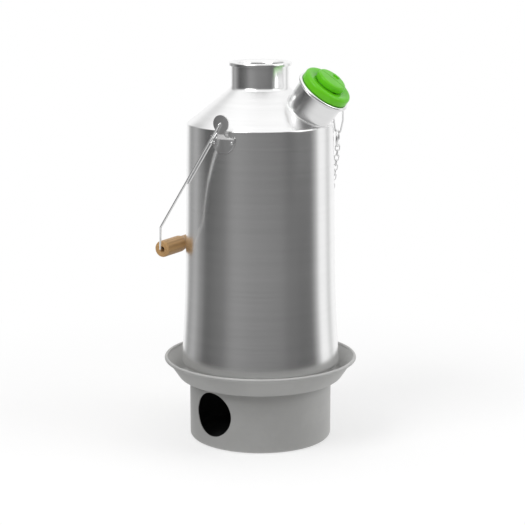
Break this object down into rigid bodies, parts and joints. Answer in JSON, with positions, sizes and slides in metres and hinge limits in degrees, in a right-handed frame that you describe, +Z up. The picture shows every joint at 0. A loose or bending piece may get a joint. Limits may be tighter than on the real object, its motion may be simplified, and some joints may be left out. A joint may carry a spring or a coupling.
{
  "type": "storm kettle",
  "caption": "Chimney kettle for outdoor fires: a water jacket around a fire cone, with corked spout, hanging wire bail and a separate fire dish.",
  "frame": {"origin": "middle of the fire pot's underside, on the surface that the kettle stands on", "axes": "+Z up along the chimney, the spout points along +X, the ears of the bail stand on -Y and +Y, the bail hangs on the -X side"},
  "size_m": [0.187, 0.187, 0.3655],
  "materials": {
    "satin_aluminium": "satin, fine circular brushing",
    "matte_aluminium": "matte spun aluminium",
    "steel_plate": "stamped, lightly brushed",
    "steel_wire": "bright drawn wire",
    "chain_steel": "bright plated links",
    "rivet_aluminium": "set rivet heads",
    "whistle_aluminium": "plain thin sheet",
    "green_rubber": "satin moulded",
    "grip_wood": "turned beech, thin varnish"
  },
  "bodies": {
    "fire_base": {"fire_pot": "matte_aluminium", "fire_dish": "matte_aluminium"},
    "kettle": {"body_wall": "satin_aluminium", "shoulder": "satin_aluminium", "firebox_cone": "satin_aluminium", "chimney_tube": "satin_aluminium", "spout_tube": "satin_aluminium", "ear_front": "steel_plate", "ear_back": "steel_plate", "ear_rivets": "rivet_aluminium", "chain_bracket": "steel_plate", "bracket_rivets": "rivet_aluminium", "chain_links": "chain_steel"},
    "stopper": {"stopper_body": "green_rubber", "whistle_disc_lower": "whistle_aluminium", "whistle_disc_upper": "whistle_aluminium", "stopper_eyelet": "steel_wire", "stopper_clip": "steel_wire", "split_ring": "steel_wire"},
    "bail": {"bail_wire": "steel_wire"},
    "grip": {"bail_grip": "grip_wood"}
  },
  "joints": [
    {"name": "kettle_lift", "type": "slide", "parent": "fire_base", "child": "kettle", "axis": [0, 0, 1], "range_m": [0, 0.15]},
    {"name": "stopper_pull", "type": "slide", "parent": "kettle", "child": "stopper", "axis": [0.6225, 0, 0.7826], "range_m": [0, 0.03], "deforming": ["chain_links"]},
    {"name": "bail_swing", "type": "hinge", "parent": "kettle", "child": "bail", "pos_m": [0, 0, 0.3146], "axis": [0, 1, 0], "range_deg": [0, 296]},
    {"name": "grip_spin", "type": "hinge", "parent": "bail", "child": "grip", "pos_m": [-0.07882, 0, 0.1864], "axis": [0, 1, 0], "continuous": true}
  ]
}
